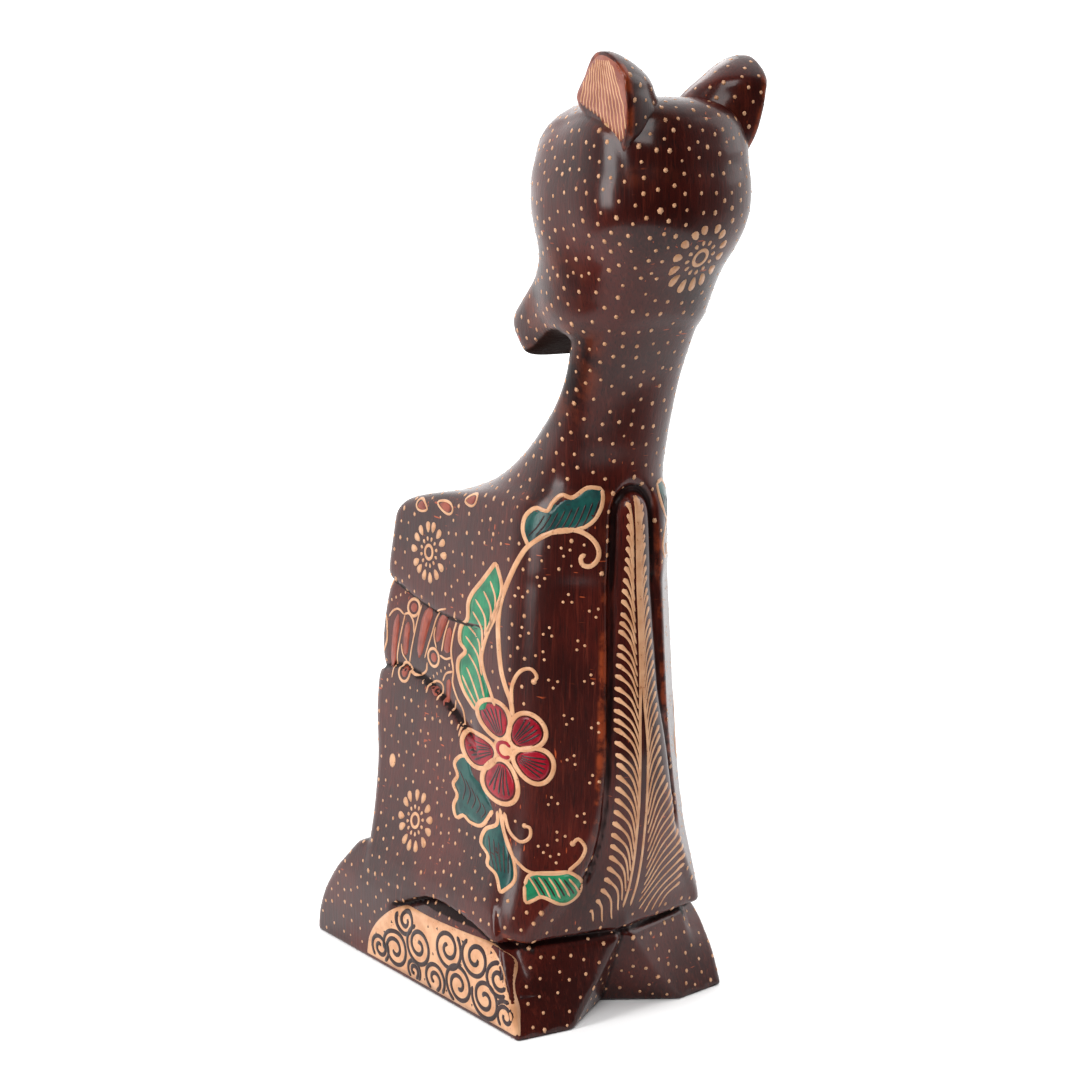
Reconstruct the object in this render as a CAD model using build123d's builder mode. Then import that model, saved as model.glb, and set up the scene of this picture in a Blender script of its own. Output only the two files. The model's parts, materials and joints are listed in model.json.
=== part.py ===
"""Carved wooden giraffe, sitting with its legs folded and its head turned back over its body.

The statue is carved from one block of light hardwood. Only the ears are separate pieces: each stands on
a flat seat on the head and is held by a hidden glued peg. The giraffe's chest faces -Y and its rump +Y,
and the head looks back, so the muzzle points to +Y and the head's own left side is at -X.
The origin is the middle of the flat face that the statue stands on.
"""
import os

from build123d import *

# Driving dimensions, in millimetres.
BASE_HALF_WIDTH = 26.2
LEG_TOP = 19.3
WAIST = 28.0
WAIST_HALF_WIDTH = 20.0
FOOT_FRONT = -44.5
KNEE_TOP = (-41.3, 23.3)
FOOT_INNER_HALF_GAP = 16.8
FOOT_OUTER = (30.0, -39.6)
NOTCH_BACK = -33.5
NOTCH_LEAN = -8.2
TAIL_END = 42.0

BODY_BOTTOM = 17.0
BODY_ROUNDING = 2.4
NAPE_TOP = 150.0
NECK_BOTTOM = 100.0
HEAD_TOP = 190.5
MUZZLE_ROUNDING = 2.5

CREASE_WIDTH = 2.2
HAUNCH_CREASE_FLOOR = 19.4
SHOULDER_CREASE_FLOOR = 18.2

EAR_SEAT = 184.0
EAR_TOP = 200.5
EAR_ROUNDING = 1.5
PEG_RADIUS = 2.0
PEG_BOTTOM = 177.0
PEG_LENGTH = 14.0
PEG_PLACE = (14.0, -55.0)
PEG_CLEARANCE = 0.05
PEG_END_GAP = 0.5
PEG_CHAMFER = 0.4

# Wider than the statue on every side, for profiles that cut or bound it from one direction.
CLEAR = 60.0


def ring(half_back, back, half_side, side_back, side_front, half_front, front):
    """Corners of an eight-sided section, mirrored about X = 0, from the back left round by the front."""
    right = [(half_back, back), (half_side, side_back), (half_side, side_front), (half_front, front)]
    return [(-x, y) for x, y in right] + right[::-1]


# Sections of the body at each height: flat back and sides, slanting shoulders and a narrow chest strip.
BODY_RINGS = {
    BODY_BOTTOM: ring(22.0, 23.0, 26.4, 18.0, -35.0, 15.0, -41.4),
    30.0: ring(20.0, 23.5, 24.6, 19.0, -34.5, 12.0, -46.2),
    44.0: ring(19.0, 24.5, 22.4, 21.5, -34.0, 8.5, -48.3),
    58.0: ring(18.5, 25.0, 21.0, 22.0, -33.0, 7.0, -48.7),
    80.0: ring(17.5, 23.6, 19.6, 21.0, -32.0, 6.5, -47.0),
    100.0: ring(16.0, 21.4, 18.0, 18.6, -32.5, 6.5, -45.4),
    116.0: ring(12.0, 16.0, 15.0, 12.0, -32.5, 6.0, -44.6),
}

# Sections of the neck and head, which lean forwards as they rise, and the rounding of their corners.
NECK_RINGS = {
    NECK_BOTTOM: (ring(8.0, -8.0, 17.0, -20.0, -33.0, 7.0, -44.8), 4.0),
    116.0: (ring(6.0, -15.0, 14.0, -22.0, -36.0, 7.0, -44.8), 4.0),
    128.0: (ring(6.0, -25.0, 13.0, -32.0, -40.0, 7.0, -47.4), 4.0),
    140.0: (ring(6.0, -32.0, 13.2, -37.0, -44.0, 7.0, -51.0), 4.0),
    150.0: (ring(6.5, -32.0, 14.0, -38.0, -49.0, 7.0, -57.0), 4.5),
    160.0: (ring(8.0, -28.5, 16.6, -37.0, -54.0, 8.0, -63.0), 5.5),
    169.0: (ring(9.0, -24.0, 18.4, -33.0, -57.0, 9.0, -68.4), 6.5),
    177.0: (ring(9.0, -21.5, 18.8, -31.0, -57.5, 9.0, -69.4), 6.5),
    EAR_SEAT: (ring(8.0, -23.5, 18.0, -32.0, -58.0, 8.0, -68.0), 6.0),
    HEAD_TOP: (ring(5.0, -34.0, 8.5, -39.0, -53.0, 5.0, -59.0), 3.0),
}

# The muzzle in side view, as (y, z) points, and from above, as (x, y) points.
MUZZLE_SIDE = [(-44.0, 140.0), (-15.0, 140.0), (-12.0, 144.5), (-13.5, 151.0), (-20.0, 154.0), (-27.0, 160.0),
               (-28.0, 168.0), (-44.0, 168.0)]
MUZZLE_PLAN = [(-12.5, -44.0), (-12.0, -32.0), (-9.5, -19.0), (-4.0, -12.0), (4.0, -12.0), (9.5, -19.0),
               (12.0, -32.0), (12.5, -44.0)]

# Side views, as (y, z) points. The line over the back and up behind the neck:
BACK_LINE = [(25.0, 90.0), (20.5, 101.5), (11.0, 106.8), (-3.0, 110.6), (-14.0, 116.0), (-24.0, 125.5),
             (-30.5, 138.0)]
# the folded hind legs and the tail, from the waist down to the floor:
HIND_LINE = [(22.0, 28.0), (28.0, 24.0), (34.5, 17.0), (39.0, 10.5), (TAIL_END, 0.0)]
# and the creases over the haunch and under the shoulder, on each flank:
HAUNCH_CREASE = [(30.0, 63.5), (15.0, 67.0), (0.0, 65.0), (-14.0, 57.0), (-26.0, 48.0)]
SHOULDER_CREASE = [(30.0, 88.0), (10.0, 85.5), (-6.0, 82.5), (-26.0, 84.0)]

# The ear in side view, as (y, z) points, and from behind, as (distance from the middle, z) points.
EAR_SIDE = [(-47.0, EAR_SEAT), (-46.8, 190.0), (-54.4, EAR_TOP), (-57.2, EAR_TOP), (-64.5, 191.0),
            (-61.0, EAR_SEAT)]
EAR_BACK = [(5.0, EAR_SEAT), (5.5, 189.0), (14.5, EAR_TOP), (18.6, EAR_TOP), (18.6, EAR_SEAT)]


def rounded_section(level, corners, radius):
    """A closed section with rounded corners, on the level plane at that height."""
    with BuildSketch(Plane.XY.offset(level)) as drawn:
        with BuildLine():
            FilletPolyline(*corners, radius=radius, close=True)
        make_face()
    return drawn.sketch


# Folded legs: a block that flares to the tail end at the back and is parted by a notch at the front.
with BuildPart() as legs:
    with BuildSketch(Plane.YZ):
        with BuildLine():
            hind = Spline(*HIND_LINE)
            Polyline(hind @ 1, (FOOT_FRONT, 0.0), KNEE_TOP, (0.0, WAIST), hind @ 0)
        make_face()
    extrude(amount=CLEAR, both=True)
    with BuildSketch(Plane.XZ):
        with BuildLine():
            Polyline((-BASE_HALF_WIDTH, 0.0), (BASE_HALF_WIDTH, 0.0), (BASE_HALF_WIDTH, LEG_TOP),
                     (WAIST_HALF_WIDTH, WAIST), (-WAIST_HALF_WIDTH, WAIST), (-BASE_HALF_WIDTH, LEG_TOP),
                     close=True)
        make_face()
    extrude(amount=CLEAR, both=True, mode=Mode.INTERSECT)
    with BuildSketch(Plane.XY):
        for side in (-1, 1):
            with BuildLine():
                Polyline((side * FOOT_INNER_HALF_GAP, FOOT_FRONT), (side * FOOT_OUTER[0], FOOT_OUTER[1]),
                         (side * FOOT_OUTER[0], -CLEAR), (side * FOOT_INNER_HALF_GAP, -CLEAR), close=True)
            make_face()
    extrude(amount=WAIST, mode=Mode.SUBTRACT)

with BuildPart() as body:
    for level, corners in BODY_RINGS.items():
        add(rounded_section(level, corners, BODY_ROUNDING))
    loft(ruled=True)

with BuildPart() as neck_and_head:
    for level, (corners, radius) in NECK_RINGS.items():
        add(rounded_section(level, corners, radius))
    loft(ruled=True)

with BuildPart() as muzzle:
    with BuildSketch(Plane.YZ):
        with BuildLine():
            FilletPolyline(*MUZZLE_SIDE, radius=MUZZLE_ROUNDING, close=True)
        make_face()
    extrude(amount=CLEAR, both=True)
    with BuildSketch(Plane.XY.offset(MUZZLE_SIDE[0][1])):
        with BuildLine():
            FilletPolyline(*MUZZLE_PLAN, radius=MUZZLE_ROUNDING, close=True)
        make_face()
    extrude(amount=CLEAR, mode=Mode.INTERSECT)

# Everything above the back and behind the neck, which is carved away from the body.
with BuildPart() as carved_away:
    with BuildSketch(Plane.YZ):
        with BuildLine():
            line = Spline(*BACK_LINE)
            Polyline(line @ 1, (BACK_LINE[-1][0], NAPE_TOP), (CLEAR, NAPE_TOP), (CLEAR, BACK_LINE[0][1]), line @ 0)
        make_face()
    extrude(amount=CLEAR, both=True)

# The notch that parts the knees: a V in plan that leans forwards until it runs out of the front face.
with BuildPart() as knee_notch:
    with BuildSketch(Plane.XY):
        with BuildLine():
            depth = FOOT_FRONT - NOTCH_BACK
            Polyline((0.0, NOTCH_BACK), (2 * FOOT_INNER_HALF_GAP, NOTCH_BACK + 2 * depth),
                     (-2 * FOOT_INNER_HALF_GAP, NOTCH_BACK + 2 * depth), close=True)
        make_face()
    notch_run = Vector(0.0, NOTCH_LEAN, LEG_TOP)
    extrude(amount=notch_run.length, dir=notch_run.normalized())


def ear(side):
    """A thick leaf-shaped ear: flat on its outer face, sloping inwards on the other, flat underneath."""
    with BuildPart() as shape:
        with BuildSketch(Plane.YZ):
            with BuildLine():
                FilletPolyline(*EAR_SIDE, radius=EAR_ROUNDING, close=True)
            make_face()
        extrude(amount=CLEAR * side)
        with BuildSketch(Plane.XZ):
            with BuildLine():
                Polyline(*[(side * x, z) for x, z in EAR_BACK], close=True)
            make_face()
        extrude(amount=2 * CLEAR, mode=Mode.INTERSECT)
        split(bisect_by=Plane.XY.offset(EAR_SEAT), keep=Keep.TOP)
    return shape.part


def peg(side):
    """The glued peg that is half in the head and half in the ear, standing upright."""
    with BuildPart() as shape:
        with BuildSketch(Plane.XY.offset(PEG_BOTTOM)):
            with Locations((side * PEG_PLACE[0], PEG_PLACE[1])):
                Circle(PEG_RADIUS)
        extrude(amount=PEG_LENGTH)
        chamfer(shape.edges(), length=PEG_CHAMFER)
    return shape.part


def peg_hole(side):
    """The space for one peg, a little wider than the peg and with room at its ends."""
    with BuildPart() as shape:
        with BuildSketch(Plane.XY.offset(PEG_BOTTOM - PEG_END_GAP)):
            with Locations((side * PEG_PLACE[0], PEG_PLACE[1])):
                Circle(PEG_RADIUS + PEG_CLEARANCE)
        extrude(amount=PEG_LENGTH + 2 * PEG_END_GAP)
    return shape.part


def crease(points, side, floor):
    """A shallow groove across one flank, under a line drawn in side view, cut in as far as its floor."""
    with BuildPart() as shape:
        with BuildSketch(Plane.YZ.offset(side * floor)):
            with BuildLine():
                upper = Spline(*points)
                lower = Spline(*[(y, z - CREASE_WIDTH) for y, z in points])
                Line(upper @ 0, lower @ 0)
                Line(upper @ 1, lower @ 1)
            make_face()
        extrude(amount=side * CLEAR)
    return shape.part


ears = {side: ear(side) for side in (-1, 1)}
peg_holes = {side: peg_hole(side) for side in (-1, 1)}
creases = [crease(points, side, floor) for side in (-1, 1)
           for points, floor in ((HAUNCH_CREASE, HAUNCH_CREASE_FLOOR), (SHOULDER_CREASE, SHOULDER_CREASE_FLOOR))]

with BuildPart() as carved_block:
    add(body.part)
    add(carved_away.part, mode=Mode.SUBTRACT)
    for groove in creases:
        add(groove, mode=Mode.SUBTRACT)
    add(neck_and_head.part)
    add(muzzle.part)
    add(legs.part)
    add(knee_notch.part, mode=Mode.SUBTRACT)
    for side in (-1, 1):
        add(ears[side], mode=Mode.SUBTRACT)
        add(peg_holes[side], mode=Mode.SUBTRACT)
carved_block.part.label = "carved_block"

with BuildPart() as left_ear:
    add(ears[-1])
    add(peg_holes[-1], mode=Mode.SUBTRACT)
left_ear.part.label = "left_ear"

with BuildPart() as right_ear:
    add(ears[1])
    add(peg_holes[1], mode=Mode.SUBTRACT)
right_ear.part.label = "right_ear"

with BuildPart() as left_ear_peg:
    add(peg(-1))
left_ear_peg.part.label = "left_ear_peg"

with BuildPart() as right_ear_peg:
    add(peg(1))
right_ear_peg.part.label = "right_ear_peg"

os.makedirs("parts", exist_ok=True)
for piece in (carved_block, left_ear, right_ear, left_ear_peg, right_ear_peg):
    export_step(piece.part, f"parts/{piece.part.label}.step")
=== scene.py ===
"""Carved and painted wooden giraffe that sits and looks back over its rump, dressed for its portrait."""
import json
import math

import bpy
import numpy as np
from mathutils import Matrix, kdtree

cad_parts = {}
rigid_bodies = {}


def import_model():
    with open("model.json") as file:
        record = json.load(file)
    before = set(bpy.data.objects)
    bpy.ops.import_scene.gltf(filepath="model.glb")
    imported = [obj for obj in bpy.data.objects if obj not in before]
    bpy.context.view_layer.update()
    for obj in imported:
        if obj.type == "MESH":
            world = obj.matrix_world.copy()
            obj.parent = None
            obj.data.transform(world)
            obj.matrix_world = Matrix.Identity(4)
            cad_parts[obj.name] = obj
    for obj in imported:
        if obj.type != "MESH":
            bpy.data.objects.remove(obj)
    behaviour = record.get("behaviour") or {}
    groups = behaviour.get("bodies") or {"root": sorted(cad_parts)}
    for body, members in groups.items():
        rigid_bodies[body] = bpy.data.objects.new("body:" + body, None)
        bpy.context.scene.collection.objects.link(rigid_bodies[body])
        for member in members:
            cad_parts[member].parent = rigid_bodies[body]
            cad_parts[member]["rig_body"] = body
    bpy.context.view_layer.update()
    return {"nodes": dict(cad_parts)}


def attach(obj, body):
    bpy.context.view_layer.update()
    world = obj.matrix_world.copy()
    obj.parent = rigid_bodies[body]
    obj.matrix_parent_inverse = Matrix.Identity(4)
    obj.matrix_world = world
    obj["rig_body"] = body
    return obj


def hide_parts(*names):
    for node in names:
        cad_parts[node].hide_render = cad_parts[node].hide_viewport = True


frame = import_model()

MM = 0.001
TURN = 2 * math.pi
random = np.random.default_rng(7)


# ---------------------------------------------------------------- the carved shape, in millimetres
def curve(at, knots):
    """Smooth curve through the knots, (place, value) pairs: a cubic whose slopes never overshoot."""
    place, value = np.array(knots, float).T
    at = np.clip(at, place[0], place[-1])
    step = np.diff(place)
    rise = np.diff(value) / step
    slope = np.concatenate([rise[:1], np.zeros(len(rise) - 1), rise[-1:]])
    same_way = rise[:-1] * rise[1:] > 0
    slope[1:-1][same_way] = 2 * rise[:-1][same_way] * rise[1:][same_way] / (rise[:-1] + rise[1:])[same_way]
    i = np.clip(np.searchsorted(place, at, side="right") - 1, 0, len(step) - 1)
    t = (at - place[i]) / step[i]
    return ((1 + 2 * t) * (1 - t) ** 2 * value[i] + t * (1 - t) ** 2 * step[i] * slope[i]
            + t * t * (3 - 2 * t) * value[i + 1] + t * t * (t - 1) * step[i] * slope[i + 1])


def ease(low, high, t):
    """0 below low, 1 above high, and a smooth S between them."""
    t = np.clip((t - low) / (high - low), 0, 1)
    return t * t * (3 - 2 * t)


def joined(a, b, blend):
    """Union of two shapes whose joint is filled by a fillet about that wide."""
    h = np.clip(0.5 + 0.5 * (b - a) / blend, 0, 1)
    return b + (a - b) * h - blend * h * (1 - h)


def cut(a, b, blend):
    """Common part of two shapes, with the edge between them rounded over about that width."""
    return -joined(-a, -b, blend)


# How far each plane of the body stands out, at each height: the sides, the chest, the rear, the slanted
# shoulder, the edge of the chest strip and the rump of the folded legs. BACK_TOP is the height of the back.
SIDE = [(0, 27.6), (17, 27.8), (24, 26.8), (34, 24.4), (46, 22.4), (58, 21.3), (80, 20.0), (100, 18.6),
        (110, 17.4), (120, 15)]
CHEST = [(15, 40.4), (22, 41.6), (30, 44.8), (38, 47.0), (48, 48.4), (58, 48.7), (70, 47.8), (91, 46.3),
         (116, 44.4)]
REAR = [(20, 20.4), (30, 21.6), (46, 23.2), (58, 25.0), (71, 24.8), (82, 23.6), (95, 21.6), (106, 20.0)]
CORNER = [(17, 44.0), (22, 43.4), (30, 42.0), (40, 40.2), (58, 38.5), (80, 37.3), (100, 36.4), (116, 36.0)]
BACK_TOP = [(-30, 112.4), (-10, 110.4), (0, 109.2), (10, 107.4), (16, 105.8), (20, 103.8), (26, 100)]
STRIP = [(22, 17), (30, 11.5), (38, 8.6), (48, 7.4), (58, 6.6), (80, 5.5), (100, 4.6), (108, 4.2)]
RUMP = [(0, 42.0), (4, 41.4), (10, 38.8), (17, 33.4), (22, 28.6), (26, 24.6), (30, 19)]
# The neck at each height: its front and rear lines, and half its width.
NECK_FRONT = [(96, 43.0), (106, 44.0), (116, 43.8), (124, 45.0), (136, 47.6), (144, 51.4), (152, 56.0),
              (162, 60.2), (170, 62)]
NECK_REAR = [(98, 12), (105, 10), (109, 3.5), (113, -6.0), (116, -11.6), (121, -18.6), (126, -24.0),
             (130, -28.0), (135, -31.6), (139, -33.4), (146, -34.5), (156, -33), (166, -30)]
NECK_HALF = [(96, 17.6), (104, 17.0), (112, 15.6), (118, 14.4), (126, 13.4), (134, 13.0), (142, 13.2),
             (150, 13.8), (160, 14.8), (172, 15.4)]
# Heights of the creases along the flank, from the chest to the rump.
UPPER_CREASE = [(-32, 84), (-24, 83), (-15, 82.3), (-5, 82.4), (5, 83.6), (15, 86), (26, 89.5)]
LOWER_CREASE = [(-32, 40), (-27, 46), (-22, 51.5), (-14, 58), (-5, 63.5), (5, 67), (14, 68), (26, 65)]
LEG_CREASE = [(-37, 17.5), (-30, 19.2), (-24, 20.6), (-18, 21.4), (-12, 21.8), (-7, 21.4), (-2, 19.8),
              (3, 17.7), (8, 15.9)]
# Crown of the chest strip and its top, the places of the knee's facet, of the notch and of the legs' top,
# the lower edge of the apron and the shadow line under it, and the middle and half width of the skull.
CHEST_CROWN = 2.4
KNEE_FRONT, NOTCH_BACK, LEG_TOP = 44.9, -33.5, 27
APRON_EDGE, APRON_SHADOW = 18.6, 18.4
STRIP_TOP = 107.5
SKULL_Y, SKULL_Z, SKULL_HALF = -46, 174, 18.3


def superellipse(x, y, half_x, half_y, power):
    """Distance-like value of a rounded section: negative inside |x/a|^p + |y/b|^p = 1."""
    r = (np.abs(x / half_x) ** power + np.abs(y / half_y) ** power) ** (1 / power)
    return (r - 1) * np.minimum(half_x, half_y)


def strip_half(x, z):
    """Half width of the chest strip, which flares further on the right side low down."""
    return curve(z, STRIP) + 3.4 * ease(74, 40, z) * ease(0, 3, x)


def shoulder(ax, y, z):
    """Distance outside the shoulder plane, which slants about 45 degrees in plan."""
    return 0.70 * ax - 0.714 * y - curve(z, CORNER)


def torso(x, y, z):
    """Upright body: the common part of its side, shoulder, chest, rear and back planes.

    Each plane's place is a curve of the height, and the chest strip is crowned as (x / half width) squared.
    """
    ax = np.abs(x)
    ridge = -y - curve(z, CHEST) + CHEST_CROWN * np.minimum(ax / strip_half(x, z), 1) ** 2
    d = cut(shoulder(ax, y, z), ax - curve(z, SIDE), 5.0)
    d = cut(d, ridge, 1.0)
    d = cut(d, y - curve(z, REAR), 3.5)
    return cut(d, z - curve(y, BACK_TOP), 3.0)


def legs(x, y, z):
    """Folded legs: side and rump planes, a facet that leans over each knee, and the V notch between them."""
    ax = np.abs(x)
    d = cut(ax - curve(z, SIDE), y - curve(z, RUMP), 2.2)
    knee = (-y - KNEE_FRONT + 0.12 * ax + 0.27 * z * (ax / 26) + 0.14 * z) * 0.95
    d = cut(d, knee, 0.8)
    notch = (NOTCH_BACK - 0.427 * z - 0.655 * ax - y) / 1.27
    d = cut(d, notch, 0.5)
    return cut(d, z - LEG_TOP, 2.0)


def neck(x, y, z):
    """A superellipse at each height, between the neck's front and rear lines, from 96 to 172 mm up."""
    front, rear = curve(z, NECK_FRONT), curve(z, NECK_REAR)
    d = superellipse(x, y - (rear - front) / 2, curve(z, NECK_HALF), (front + rear) / 2, 2.35)
    return cut(d, np.abs(z - 134) - 38, 3)


def face_plane(x, y, z):
    """Distance outside an ear's flat face: a plane that leans outwards to its tip and turns a bit forward."""
    return np.abs(x) - 17.2 - 0.149 * (z - 192) + 0.066 * (y + 63)


def head(x, y, z):
    """Skull: superellipse in plan, (r^q + (z/c)^q)^(1/q) = 1 upright, cut by a top plane and the ears' faces.

    It is deeper towards the forehead, flatter on top, and narrower below on the muzzle's side.
    """
    sx = np.abs(x / SKULL_HALF)
    power = 2.7
    sy = np.abs(y - SKULL_Y) / np.where(y > SKULL_Y, 23.0, 19.6)
    r = (sx ** power + sy ** power) ** (1 / power)
    upper = z > SKULL_Z
    sz = np.abs(z - SKULL_Z) / np.where(upper, 18.4, 15.0 - 2.2 * ease(-44, -34, y))
    q = np.where(upper, 2.7 + 2.0 * ease(-38, -56, y), 2.3)
    d = ((r ** q + sz ** q) ** (1 / q) - 1) * 18
    above = -0.31 * (y + 45.5) + 0.95 * (z - 190.6) - 0.05 * (y + 50)
    below_face = face_plane(x, y, z) + 0.6
    return joined(cut(d, below_face, 1.0), cut(d, above, 2.5), 1.2)


# The ear at each height: half its length, the middle of its length, and its thickness inwards.
EAR_WIDTH = [(181, 0.6), (182.5, 2.2), (185, 4.8), (188, 7.4), (192, 9.0), (194, 8.3), (196.5, 6.6),
             (199, 4.2), (200.6, 1.8)]
EAR_MIDDLE = [(181, -59), (185, -57), (188, -55.2), (192, -54.1), (196.5, -55.8), (200.6, -55.5)]
EAR_DEPTH = [(181, 8.0), (186, 13.0), (188.8, 13.4), (190.6, 12.6), (194.4, 10.6), (198, 7.2), (200.6, 3.0)]
EAR_ROOT, EAR_TIP = 181.2, 200.6


def ear(x, y, z):
    """Half of a leaning leaf: (x/a)^2 + (y/b)^2 = 1, a and b varying upwards, ended by a flat outer face."""
    out = face_plane(x, y, z)
    a, b = curve(z, EAR_DEPTH), curve(z, EAR_WIDTH)
    r = (np.abs(out / a) ** 2.0 + np.abs((y - curve(z, EAR_MIDDLE)) / b) ** 2.0) ** 0.5
    d = (r - 1) * np.minimum(a, b) * 0.8
    d = cut(d, z - EAR_TIP, 1.0)
    return cut(cut(d, out, 0.7), EAR_ROOT - z, 0.3)


def muzzle(x, y, z):
    """Muzzle: superellipse about an axis that points down and back, webbed to the neck, cut off below."""
    ax = np.abs(x)
    along = 0.77 * (y + 36) - 0.64 * (z - 160)
    across = 0.64 * (y + 36) + 0.77 * (z - 160)
    half = 14.8 - 0.13 * np.clip(along, 0, 30)
    d = (((ax / half) ** 2.8 + np.abs((across + 1.8) / 8.3) ** 2.8) ** (1 / 2.8) - 1) * 9
    d = cut(cut(d, along - 26.4, 5), -along - 4, 4)
    web = cut(superellipse(x, y + 38, 12.8, 12.2, 2.3), np.abs(z - 156) - 10, 3)
    jaw = -0.40 * (y + 19) - 0.917 * (z - 139.2)
    return cut(joined(d, web, 5.0), jaw, 1.6)


def flank_band(ax, y, z):
    """Depth of the sunk band on the flank: falls off as exp(-distance) from each of its two creases."""
    below, above = curve(y, UPPER_CREASE) - z, z - curve(y, LOWER_CREASE)
    inside = ease(-0.25, 0.25, below) * ease(-0.25, 0.25, above)
    depth = inside * (0.35 + np.exp(-np.maximum(below, 0) / 3.2) + np.exp(-np.maximum(above, 0) / 3.2))
    lips = (np.exp(-np.maximum(-below, 0) / 1.2) * (below <= 0)
            + np.exp(-np.maximum(-above, 0) / 1.2) * (above <= 0))
    depth = depth + 0.45 * lips * (1 - inside)
    return depth * (ease(-19, -13.5, y) * ease(13, 17, ax))


def strip_groove(x, y, z):
    """Depth of the groove beside the chest strip: a bell curve across it, arched over the strip's top."""
    arch = np.hypot(np.abs(x), np.maximum(z - STRIP_TOP, 0) * 0.75)
    off = np.abs(arch - strip_half(x, np.minimum(z, STRIP_TOP)) - 0.6) * 0.9
    fade = ease(27, 34, z - 10 * ease(0, 2, x)) * ease(-34, -39, y)
    return 1.15 * np.exp(-(off / 0.85) ** 2) * fade


def leg_ledge(ax, y, z):
    """Depth of the ledge over the leg: a step in under the crease line that fades as exp(-distance / 4)."""
    under = curve(y, LEG_CREASE) - z
    where = ease(-40, -36, y) * ease(9, 3, y) * ease(20, 23, ax)
    return where * (2.8 * ease(-0.2, 0.3, under) * np.exp(-np.maximum(under, 0) / 4)
                    + 0.3 * np.exp(under / 1.2) * (under < 0))


def block(x, y, z):
    """The whole block: body, neck and legs joined, with their creases cut in, then the skull and muzzle."""
    ax = np.abs(x)
    d = cut(torso(x, y, z), APRON_EDGE - z + 0.35 * np.maximum(ax - 22, 0), 0.8)
    d = joined(d, neck(x, y, z), 3.0)
    d = d + flank_band(ax, y, z) + strip_groove(x, y, z)
    d = joined(d, legs(x, y, z), 0.6) + leg_ledge(ax, y, z)
    d = d + 1.2 * np.exp(-((z - APRON_SHADOW) / 0.9) ** 2) * ease(-30, -34, y)
    d = cut(d, -z, 0.8)
    skull = joined(head(x, y, z), muzzle(x, y, z), 7.0)
    return joined(d, skull, 1.0 + 8.0 * ease(139, 152, z))


def mesh_of(field, low, high, cell):
    """Surface of a solid: one vertex per grid cell that its skin crosses, one quad per crossed grid edge."""
    axes = [np.arange(a, b + cell, cell) for a, b in zip(low, high)]
    shape = tuple(len(a) for a in axes)
    f = np.empty(shape, np.float32)
    for i, x in enumerate(axes[0]):
        f[i] = field(np.full((1, 1), x), axes[1][:, None], axes[2][None, :])
    inside = f < 0
    corners = [(i, j, k) for i in (0, 1) for j in (0, 1) for k in (0, 1)]
    n = tuple(s - 1 for s in shape)
    part = [inside[i:i + n[0], j:j + n[1], k:k + n[2]] for i, j, k in corners]
    count = sum(p.astype(np.int8) for p in part)
    cells = np.argwhere((count > 0) & (count < 8))
    index = np.full(n, -1, np.int32)
    index[tuple(cells.T)] = np.arange(len(cells))
    total, hits = np.zeros((len(cells), 3)), np.zeros(len(cells))
    for a in corners:
        for axis in range(3):
            if a[axis] == 0:
                b = tuple(v + (m == axis) for m, v in enumerate(a))
                fa, fb = f[tuple((cells + a).T)], f[tuple((cells + b).T)]
                crossed = (fa < 0) != (fb < 0)
                t = np.where(crossed, fa / np.where(crossed, fa - fb, 1), 0)
                total += crossed[:, None] * (np.array(a) + t[:, None] * (np.array(b) - a))
                hits += crossed
    points = (cells + total / hits[:, None]) * cell + [a[0] for a in axes]
    quads = []
    for axis in range(3):
        u, v = (axis + 1) % 3, (axis + 2) % 3
        step = np.eye(3, dtype=int)
        first = inside[tuple(slice(None, -1) if m == axis else slice(1, -1) for m in range(3))]
        second = inside[tuple(slice(1, None) if m == axis else slice(1, -1) for m in range(3))]
        edge = np.argwhere(first != second)
        outwards = first[tuple(edge.T)]
        edge = edge + (1 - step[axis])
        ring = [edge - step[u] - step[v], edge - step[v], edge, edge - step[u]]
        quad = np.stack([index[tuple(r.T)] for r in ring], 1)
        quads.append(np.where(outwards[:, None], quad, quad[:, ::-1]))
    return points, np.concatenate(quads)


def slope_of(field, p, step=0.05):
    """Outward normal times slope of the field at points, by central differences."""
    g = np.empty_like(p)
    for axis in range(3):
        e = np.eye(3)[axis] * step
        g[:, axis] = (field(*(p + e).T) - field(*(p - e).T)) / (2 * step)
    return g


def settle(field, p, rounds=3):
    """Moves points onto the skin along the field's slope: Newton's step, at most 0.4 mm a round."""
    for _ in range(rounds):
        g = slope_of(field, p)
        p = p - np.clip(field(*p.T) / np.maximum((g ** 2).sum(1), 0.05), -0.4, 0.4)[:, None] * g
    return p


# ---------------------------------------------------------------- laying paint on the carving
class Chart:
    """Flat drawing sheet held upright against the carving: (across, height) goes straight on to the skin."""

    def __init__(self, field, across, look):
        self.field = field
        self.across, self.look = np.array(across, float), np.array(look, float)
        self.turned = np.dot(np.cross(self.across, (0, 0, 1)), self.look) > 0

    def lay(self, flat, rounds=60):
        """Slides each point along the looking direction until it meets the skin; gives points and normals."""
        p = flat[:, :1] * self.across + flat[:, 1:] * (0, 0, 1) - 75 * self.look
        for _ in range(rounds):
            p = p + self.look * np.clip(self.field(*p.T) * 0.85, -1, 6)[:, None]
        g = slope_of(self.field, p)
        return p, g / np.linalg.norm(g, axis=1)[:, None]


FLANK_VIEW = Chart(block, (0, 1, 0), (1, 0, 0))
CORNER_VIEW = Chart(block, (0.82, -0.57, 0), (0.57, 0.82, 0))
FRONT_VIEW = Chart(block, (1, 0, 0), (0, 1, 0))
EAR_VIEW = Chart(ear, (0, 1, 0), (1, 0, 0))


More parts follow.
